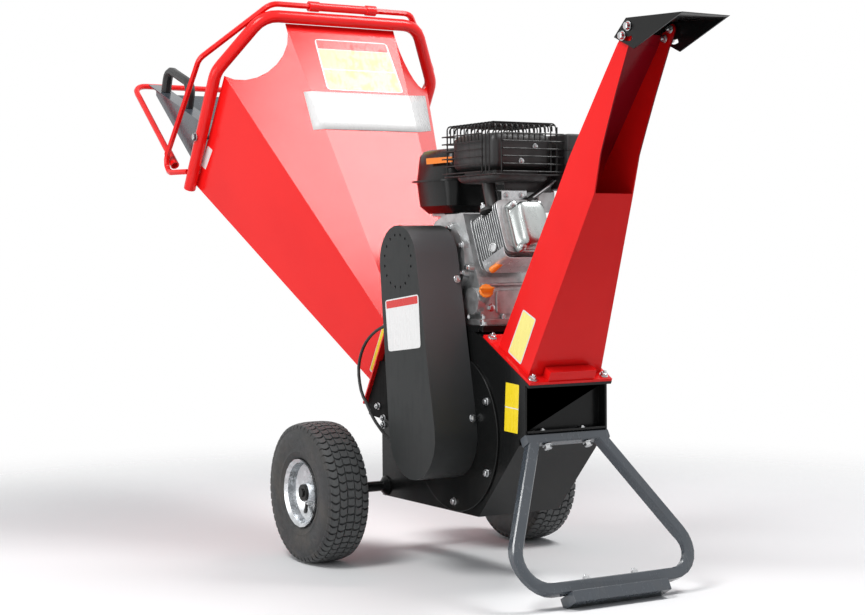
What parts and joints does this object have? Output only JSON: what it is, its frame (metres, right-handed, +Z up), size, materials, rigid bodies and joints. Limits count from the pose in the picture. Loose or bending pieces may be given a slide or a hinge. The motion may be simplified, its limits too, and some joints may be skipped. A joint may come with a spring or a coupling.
{
  "type": "petrol wood chipper",
  "caption": "Wheeled petrol wood chipper with a wide folding hopper, a feed tray, a belt-driven drum rotor and a tall discharge chute with a tilting deflector.",
  "frame": {"origin": "centre of the part's bounding box, at the ground", "axes": "+X towards the discharge chute, +Y towards the engine's starter side, +Z up"},
  "size_m": [2.1024, 0.716, 1.3755],
  "materials": {
    "housing": "gloss powder coat",
    "rotor_cover": "gloss powder coat",
    "bearing_near": "machined steel",
    "bearing_far": "machined steel",
    "infeed_floor": "machined steel",
    "counter_blade": "ground tool steel",
    "rotor_wrap": "machined steel",
    "drive_belt": "matt rubber",
    "belt_guard": "gloss powder coat",
    "belt_guard_back": "gloss powder coat",
    "engine_platform": "gloss powder coat",
    "axle": "gloss powder coat",
    "stand": "satin powder coat",
    "stand_pad": "satin powder coat",
    "chute": "gloss powder coat",
    "hinge_bracket_near": "gloss powder coat",
    "hinge_bracket_far": "gloss powder coat",
    "crankcase": "cast",
    "cylinder": "cast",
    "cylinder_head": "cast",
    "rocker_cover": "cast",
    "exhaust_elbow": "satin paint",
    "muffler": "satin paint",
    "muffler_cage": "satin paint",
    "fuel_tank": "satin paint",
    "tank_bracket": "machined steel",
    "air_cleaner": "moulded plastic",
    "carburettor": "cast",
    "blower_housing": "satin paint",
    "recoil_cover": "satin paint",
    "safety_switch": "moulded plastic",
    "switch_cable": "matt rubber",
    "tyre_near": "treaded rubber",
    "wheel_rim_near": "bright zinc plate",
    "tyre_far": "treaded rubber",
    "wheel_rim_far": "bright zinc plate",
    "rotor_drum": "machined steel",
    "rotor_knife_1": "ground tool steel",
    "rotor_knife_2": "ground tool steel",
    "driven_pulley": "machined steel",
    "crankshaft": "machined steel",
    "drive_pulley": "machined steel",
    "deflector": "gloss powder coat",
    "hopper_funnel": "gloss powder coat",
    "hopper_flange": "gloss powder coat",
    "hopper_rim": "gloss powder coat",
    "hand_hoop": "gloss powder coat",
    "hoop_grip": "gloss powder coat",
    "ferrule_near": "gloss powder coat",
    "ferrule_far": "gloss powder coat",
    "outer_bar": "gloss powder coat",
    "feed_tray": "satin powder coat",
    "tray_handle": "moulded plastic",
    "throttle_lever": "moulded plastic",
    "choke_lever": "moulded plastic",
    "fuel_tap": "moulded plastic",
    "fuel_cap": "moulded plastic",
    "dipstick": "moulded plastic",
    "recoil_handle": "moulded plastic",
    "engine_switch": "moulded plastic"
  },
  "bodies": {
    "chassis": {"housing": "housing", "rotor_cover": "rotor_cover", "bearing_near": "bearing_near", "bearing_far": "bearing_far", "infeed_floor": "infeed_floor", "counter_blade": "counter_blade", "rotor_wrap": "rotor_wrap", "drive_belt": "drive_belt", "belt_guard": "belt_guard", "belt_guard_back": "belt_guard_back", "engine_platform": "engine_platform", "axle": "axle", "stand": "stand", "stand_pad": "stand_pad", "chute": "chute", "hinge_bracket_near": "hinge_bracket_near", "hinge_bracket_far": "hinge_bracket_far", "crankcase": "crankcase", "cylinder": "cylinder", "cylinder_head": "cylinder_head", "rocker_cover": "rocker_cover", "exhaust_elbow": "exhaust_elbow", "muffler": "muffler", "muffler_cage": "muffler_cage", "fuel_tank": "fuel_tank", "tank_bracket": "tank_bracket", "air_cleaner": "air_cleaner", "carburettor": "carburettor", "blower_housing": "blower_housing", "recoil_cover": "recoil_cover", "safety_switch": "safety_switch", "switch_cable": "switch_cable"},
    "wheel_near": {"tyre_near": "tyre_near", "wheel_rim_near": "wheel_rim_near"},
    "wheel_far": {"tyre_far": "tyre_far", "wheel_rim_far": "wheel_rim_far"},
    "rotor": {"rotor_drum": "rotor_drum", "rotor_knife_1": "rotor_knife_1", "rotor_knife_2": "rotor_knife_2", "driven_pulley": "driven_pulley"},
    "crank": {"crankshaft": "crankshaft", "drive_pulley": "drive_pulley"},
    "deflector": {"deflector": "deflector"},
    "hopper": {"hopper_funnel": "hopper_funnel", "hopper_flange": "hopper_flange", "hopper_rim": "hopper_rim", "hand_hoop": "hand_hoop", "hoop_grip": "hoop_grip", "ferrule_near": "ferrule_near", "ferrule_far": "ferrule_far"},
    "outer_bar": {"outer_bar": "outer_bar"},
    "tray": {"feed_tray": "feed_tray", "tray_handle": "tray_handle"},
    "throttle": {"throttle_lever": "throttle_lever"},
    "choke": {"choke_lever": "choke_lever"},
    "fuel_tap": {"fuel_tap": "fuel_tap"},
    "fuel_cap": {"fuel_cap": "fuel_cap"},
    "dipstick": {"dipstick": "dipstick"},
    "recoil": {"recoil_handle": "recoil_handle"},
    "engine_switch": {"engine_switch": "engine_switch"}
  },
  "joints": [
    {"name": "wheel_near_spin", "type": "hinge", "parent": "chassis", "child": "wheel_near", "pos_m": [-0.00478, -0.291, 0.165], "axis": [0, 1, 0], "continuous": true},
    {"name": "wheel_far_spin", "type": "hinge", "parent": "chassis", "child": "wheel_far", "pos_m": [-0.00478, 0.291, 0.165], "axis": [0, 1, 0], "continuous": true},
    {"name": "rotor_spin", "type": "hinge", "parent": "chassis", "child": "rotor", "pos_m": [0.31322, 0, 0.321], "axis": [0, 1, 0], "continuous": true},
    {"name": "crank_spin", "type": "hinge", "parent": "chassis", "child": "crank", "pos_m": [0.25722, 0, 0.705], "axis": [0, 1, 0], "continuous": true},
    {"name": "deflector_tilt", "type": "hinge", "parent": "chassis", "child": "deflector", "pos_m": [0.88672, 0, 1.1637], "axis": [0, 1, 0], "range_deg": [0, 60]},
    {"name": "hopper_swing", "type": "hinge", "parent": "chassis", "child": "hopper", "pos_m": [-0.04178, 0, 0.353], "axis": [0, -1, 0], "range_deg": [0, 25]},
    {"name": "tray_fold", "type": "hinge", "parent": "hopper", "child": "tray", "pos_m": [-0.58902, 0, 1.03002], "axis": [0, 1, 0], "range_deg": [0, 65]},
    {"name": "bar_slide", "type": "slide", "parent": "hopper", "child": "outer_bar", "axis": [-0.7771, 0, 0.6293], "range_m": [0, 0.04]},
    {"name": "throttle_turn", "type": "hinge", "parent": "chassis", "child": "throttle", "pos_m": [0.28722, 0.108, 0.819], "axis": [0, 0, 1], "range_deg": [-25, 35]},
    {"name": "choke_turn", "type": "hinge", "parent": "chassis", "child": "choke", "pos_m": [0.37722, 0.112, 0.845], "axis": [0, -1, 0], "range_deg": [0, 45]},
    {"name": "fuel_tap_turn", "type": "hinge", "parent": "chassis", "child": "fuel_tap", "pos_m": [0.38722, 0.112, 0.822], "axis": [0, 1, 0], "range_deg": [0, 90]},
    {"name": "fuel_cap_turn", "type": "hinge", "parent": "chassis", "child": "fuel_cap", "pos_m": [0.14522, 0.06, 0.965], "axis": [0, 0, 1], "range_deg": [0, 90]},
    {"name": "dipstick_turn", "type": "hinge", "parent": "chassis", "child": "dipstick", "pos_m": [0.41372, -0.0888, 0.637], "axis": [0.8297, -0.3355, 0.4461], "continuous": true},
    {"name": "recoil_pull", "type": "slide", "parent": "chassis", "child": "recoil", "axis": [-0.9397, 0, 0.342], "range_m": [0, 0.25], "stiffness_N_per_m": 40},
    {"name": "engine_switch_turn", "type": "hinge", "parent": "chassis", "child": "engine_switch", "pos_m": [0.13497, 0.135, 0.705], "axis": [0, 1, 0], "range_deg": [0, 60]}
  ],
  "couplings": [
    {"joint": "crank_spin", "follows": "rotor_spin", "ratio": 1.4706}
  ]
}
